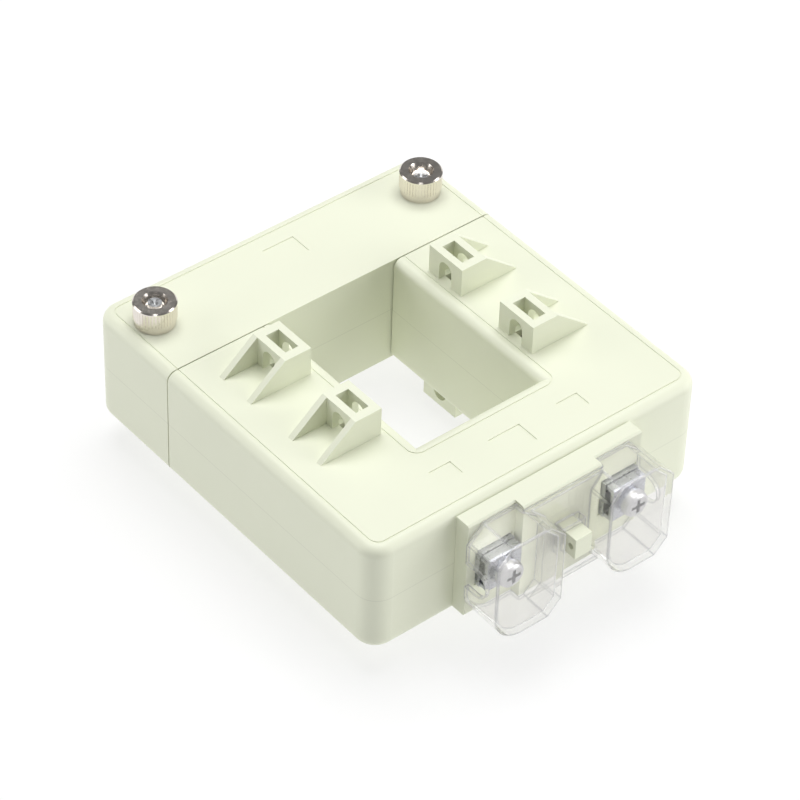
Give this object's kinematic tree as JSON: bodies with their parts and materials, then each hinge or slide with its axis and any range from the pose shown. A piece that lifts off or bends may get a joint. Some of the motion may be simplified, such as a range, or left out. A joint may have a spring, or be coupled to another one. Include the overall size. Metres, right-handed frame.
{
  "type": "current transformer",
  "caption": "Split-core current transformer with a rectangular conductor window, a removable cap held by knurled nuts, busbar lugs and covered screw terminals.",
  "frame": {"origin": "the middle of the conductor window, in the plane that the rear lugs stand on", "axes": "+Z leaves the front face along the conductors, +Y points at the removable cap, -Y at the secondary terminals, +X across the window"},
  "size_m": [0.114, 0.1404, 0.0546],
  "materials": {
    "housing": "pale green-ivory moulded plastic, fine satin",
    "terminal_block": "pale green-ivory moulded plastic, satin",
    "clear_cover": "clear polycarbonate, polished",
    "core_steel": "stacked silicon-steel laminations",
    "spring_steel": "rolled spring steel",
    "zinc_steel": "bright zinc plate",
    "nickel": "nickel plate, turned and knurled",
    "terminal_metal": "bright nickel plate, stamped",
    "bobbin": "natural nylon",
    "winding": "enamelled copper wire",
    "lead_insulation": "red insulated wire"
  },
  "bodies": {
    "housing": {"body_front_shell": "housing", "body_rear_shell": "housing", "u_core": "core_steel", "left_bobbin": "bobbin", "right_bobbin": "bobbin", "left_winding": "winding", "right_winding": "winding", "left_tongue": "zinc_steel", "right_tongue": "zinc_steel", "terminal_base": "terminal_block", "left_terminal_plate": "terminal_metal", "right_terminal_plate": "terminal_metal", "secondary_leads": "lead_insulation"},
    "cap": {"cap_front_shell": "housing", "cap_rear_shell": "housing", "cap_core": "core_steel", "cap_core_springs": "spring_steel", "left_stud": "zinc_steel", "right_stud": "zinc_steel"},
    "left_nut": {"left_knurled_nut": "nickel"},
    "right_nut": {"right_knurled_nut": "nickel"},
    "left_clamp": {"left_clamp_plate": "terminal_metal", "left_spring_washer": "terminal_metal"},
    "left_screw": {"left_terminal_screw": "terminal_metal"},
    "right_clamp": {"right_clamp_plate": "terminal_metal", "right_spring_washer": "terminal_metal"},
    "right_screw": {"right_terminal_screw": "terminal_metal"},
    "cover": {"terminal_cover": "clear_cover"}
  },
  "joints": [
    {"name": "cap_slide", "type": "slide", "parent": "housing", "child": "cap", "axis": [0, 1, 0], "range_m": [0, 0.06]},
    {"name": "left_nut_turn", "type": "hinge", "parent": "cap", "child": "left_nut", "pos_m": [-0.0467, 0.0503, 0.0453], "axis": [0, 0, 1], "range_deg": [0, 1080]},
    {"name": "right_nut_turn", "type": "hinge", "parent": "cap", "child": "right_nut", "pos_m": [0.0467, 0.0503, 0.0453], "axis": [0, 0, 1], "range_deg": [0, 1080]},
    {"name": "cover_pull", "type": "slide", "parent": "housing", "child": "cover", "axis": [0, -1, 0], "range_m": [0, 0.03]},
    {"name": "left_clamp_slide", "type": "slide", "parent": "housing", "child": "left_clamp", "axis": [0, -1, 0], "range_m": [0, 0.0028]},
    {"name": "left_screw_turn", "type": "hinge", "parent": "left_clamp", "child": "left_screw", "pos_m": [-0.0205, -0.0675, 0.0273], "axis": [0, -1, 0], "range_deg": [0, 1440]},
    {"name": "right_clamp_slide", "type": "slide", "parent": "housing", "child": "right_clamp", "axis": [0, -1, 0], "range_m": [0, 0.0028]},
    {"name": "right_screw_turn", "type": "hinge", "parent": "right_clamp", "child": "right_screw", "pos_m": [0.023, -0.0675, 0.0273], "axis": [0, -1, 0], "range_deg": [0, 1440]}
  ],
  "couplings": [
    {"joint": "left_screw_turn", "follows": "left_clamp_slide", "rad_per_m": 8976},
    {"joint": "right_screw_turn", "follows": "right_clamp_slide", "rad_per_m": 8976}
  ]
}
